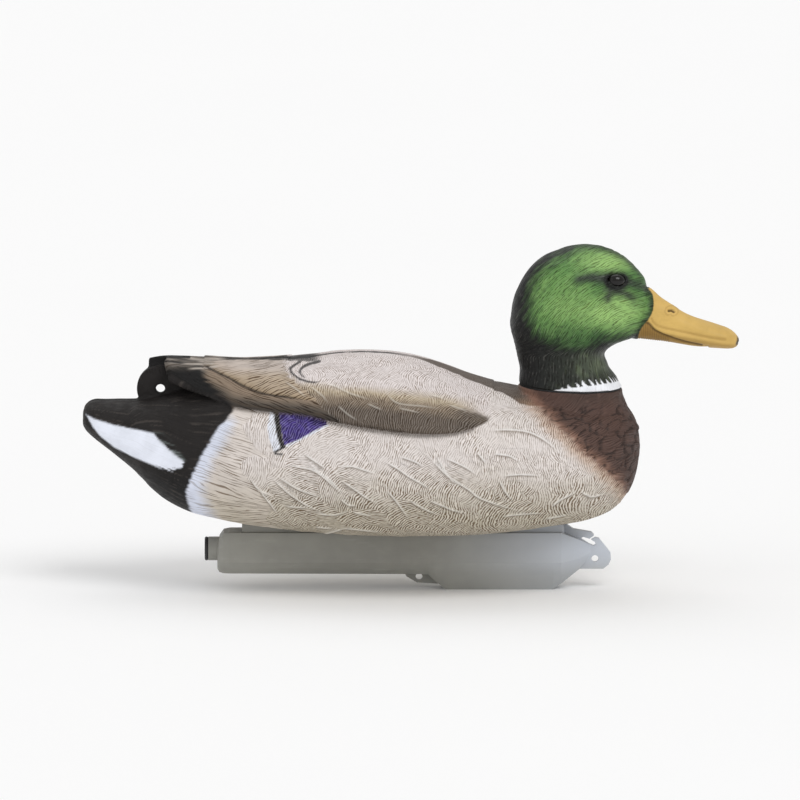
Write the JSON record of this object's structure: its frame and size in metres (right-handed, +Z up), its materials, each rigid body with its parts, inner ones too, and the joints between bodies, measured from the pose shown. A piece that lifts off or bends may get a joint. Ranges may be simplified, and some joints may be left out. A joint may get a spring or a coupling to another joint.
{
  "type": "floating duck decoy",
  "caption": "Life-size floating drake decoy: hollow painted body, a swivelling snap-in head, and a grey weighted keel with cord holes and a filler plug.",
  "frame": {"origin": "under the middle of the overall length, on the centre plane, level with the keel's lowest face", "axes": "+X towards the bill, +Y towards the duck's left side, +Z up"},
  "size_m": [0.4724, 0.172, 0.2479],
  "materials": {
    "painted_body": "matt hand-painted feather pattern over moulded plastic",
    "painted_head": "matt green paint over moulded plastic, yellow bill",
    "gasket_rubber": "plain black",
    "eye_bead": "polished black",
    "keel_plastic": "satin grey moulding",
    "plug_plastic": "black moulding",
    "ballast_iron": "bare iron",
    "screw_steel": "stainless"
  },
  "bodies": {
    "hull": {"body_shell": "painted_body", "neck_gasket": "gasket_rubber", "keel_shell": "keel_plastic", "ballast_weight": "ballast_iron", "keel_screws": "screw_steel", "keel_washers": "screw_steel"},
    "head": {"head_shell": "painted_head", "right_eye": "eye_bead", "left_eye": "eye_bead"},
    "plug": {"keel_plug": "plug_plastic"}
  },
  "joints": [
    {"name": "head_turn", "type": "hinge", "parent": "hull", "child": "head", "pos_m": [0.1154, 0, 0.147], "axis": [0.0384, 0, 0.9993], "range_deg": [-120, 120]},
    {"name": "plug_pull", "type": "slide", "parent": "hull", "child": "plug", "axis": [-1, 0, 0], "range_m": [0, 0.022]}
  ]
}
